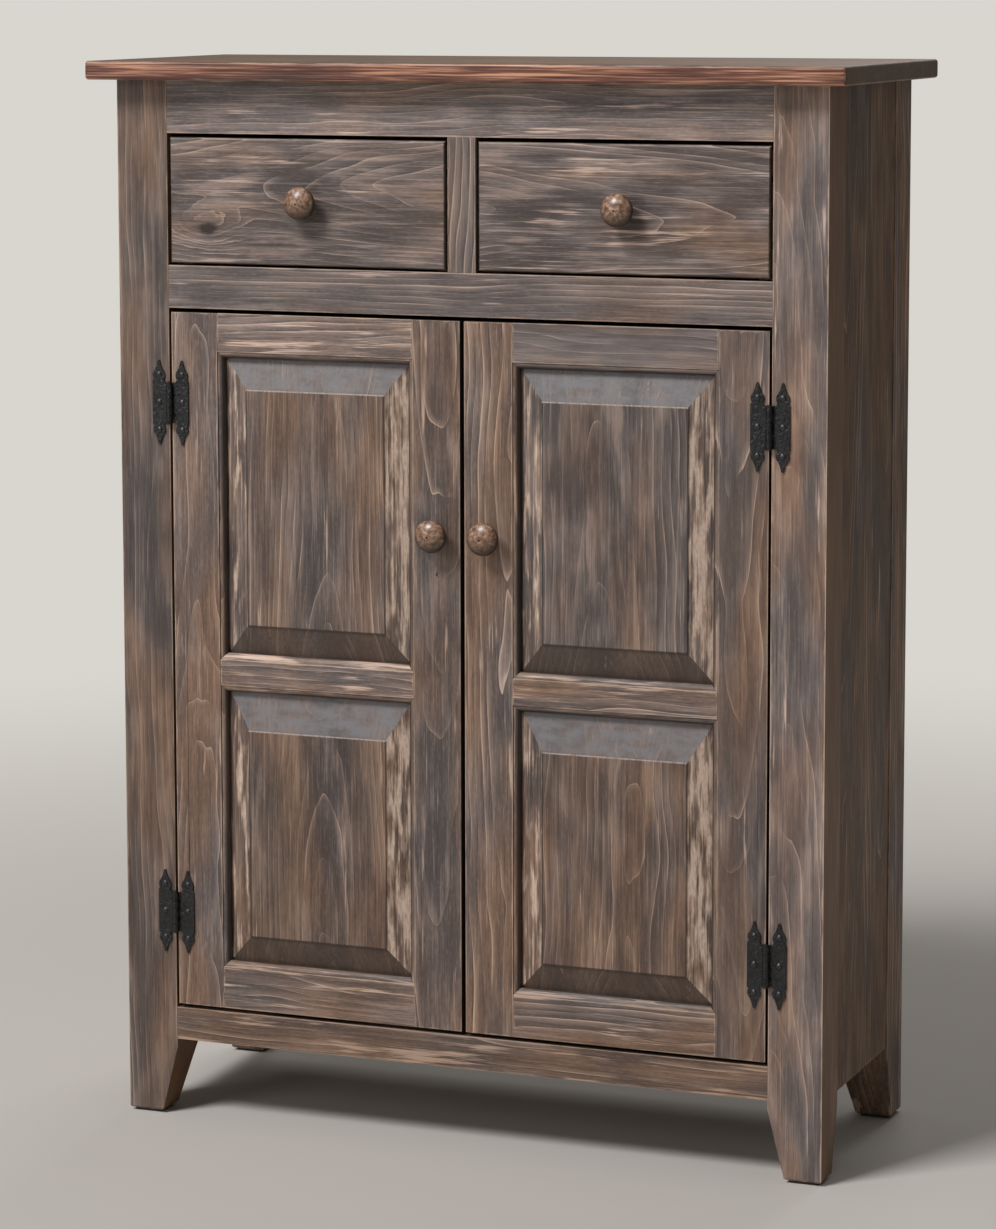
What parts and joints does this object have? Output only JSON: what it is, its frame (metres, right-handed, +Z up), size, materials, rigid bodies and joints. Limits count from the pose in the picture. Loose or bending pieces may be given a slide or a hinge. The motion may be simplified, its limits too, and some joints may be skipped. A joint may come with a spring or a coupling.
{
  "type": "jelly cupboard",
  "caption": "Tall narrow wooden cupboard on tapered feet, with raised-panel doors below flush drawers, wooden knobs and surface H hinges.",
  "frame": {"origin": "middle of the footprint, on the ground", "axes": "+Z up, +X to the right and +Y to the back as seen from the front"},
  "size_m": [0.892, 0.365, 1.219],
  "materials": {
    "stained_pine": "grey-brown stain with light grain lines, satin",
    "stained_pine_top": "reddish brown stain, satin",
    "stained_pine_inside": "thin grey-brown stain, matt",
    "plain_pine": "planed, clear sealed",
    "turned_wood_knob": "turned, brown stain, satin lacquer",
    "black_iron": "hammered black lacquer",
    "zinc_steel": "zinc plated",
    "brown_plastic": "moulded",
    "black_plastic": "moulded"
  },
  "bodies": {
    "case": {"back_boards": "stained_pine_inside", "bottom_rail": "stained_pine", "cabinet_floor": "stained_pine_inside", "door_catches": "brown_plastic", "drawer_kickers": "plain_pine", "drawer_mullion": "stained_pine", "drawer_runners": "plain_pine", "drawer_stops": "plain_pine", "foot_glides": "black_plastic", "frame_hinge_leaves": "black_iron", "frame_hinge_screws": "black_iron", "front_left_post": "stained_pine", "front_right_post": "stained_pine", "hinge_pins": "black_iron", "left_side_panel": "stained_pine", "lower_shelf": "stained_pine_inside", "middle_rail": "stained_pine", "rear_left_post": "stained_pine", "rear_rails": "plain_pine", "rear_right_post": "stained_pine", "right_side_panel": "stained_pine", "shelf_pins": "zinc_steel", "top_board": "stained_pine_top", "top_rail": "stained_pine", "top_screws": "zinc_steel", "upper_shelf": "stained_pine_inside"},
    "left_door": {"left_door_bottom_rail": "stained_pine", "left_door_fixings": "black_iron", "left_door_hinge_leaves": "black_iron", "left_door_hinge_stile": "stained_pine", "left_door_knob": "turned_wood_knob", "left_door_lock_stile": "stained_pine", "left_door_lower_panel": "stained_pine", "left_door_mid_rail": "stained_pine", "left_door_top_rail": "stained_pine", "left_door_upper_panel": "stained_pine"},
    "right_door": {"right_door_bottom_rail": "stained_pine", "right_door_fixings": "black_iron", "right_door_hinge_leaves": "black_iron", "right_door_hinge_stile": "stained_pine", "right_door_knob": "turned_wood_knob", "right_door_lock_stile": "stained_pine", "right_door_lower_panel": "stained_pine", "right_door_mid_rail": "stained_pine", "right_door_top_rail": "stained_pine", "right_door_upper_panel": "stained_pine"},
    "left_drawer": {"left_drawer_back": "plain_pine", "left_drawer_bottom": "plain_pine", "left_drawer_front": "stained_pine", "left_drawer_knob": "turned_wood_knob", "left_drawer_knob_screw": "zinc_steel", "left_drawer_left_side": "plain_pine", "left_drawer_right_side": "plain_pine"},
    "right_drawer": {"right_drawer_back": "plain_pine", "right_drawer_bottom": "plain_pine", "right_drawer_front": "stained_pine", "right_drawer_knob": "turned_wood_knob", "right_drawer_knob_screw": "zinc_steel", "right_drawer_left_side": "plain_pine", "right_drawer_right_side": "plain_pine"}
  },
  "joints": [
    {"name": "left_door_hinge", "type": "hinge", "parent": "case", "child": "left_door", "pos_m": [-0.3565, -0.1575, 0.5375], "axis": [0, 0, -1], "range_deg": [0, 170]},
    {"name": "right_door_hinge", "type": "hinge", "parent": "case", "child": "right_door", "pos_m": [0.3565, -0.1575, 0.5375], "axis": [0, 0, 1], "range_deg": [0, 170]},
    {"name": "left_drawer_slide", "type": "slide", "parent": "case", "child": "left_drawer", "axis": [0, -1, 0], "range_m": [0, 0.2]},
    {"name": "right_drawer_slide", "type": "slide", "parent": "case", "child": "right_drawer", "axis": [0, -1, 0], "range_m": [0, 0.2]}
  ]
}
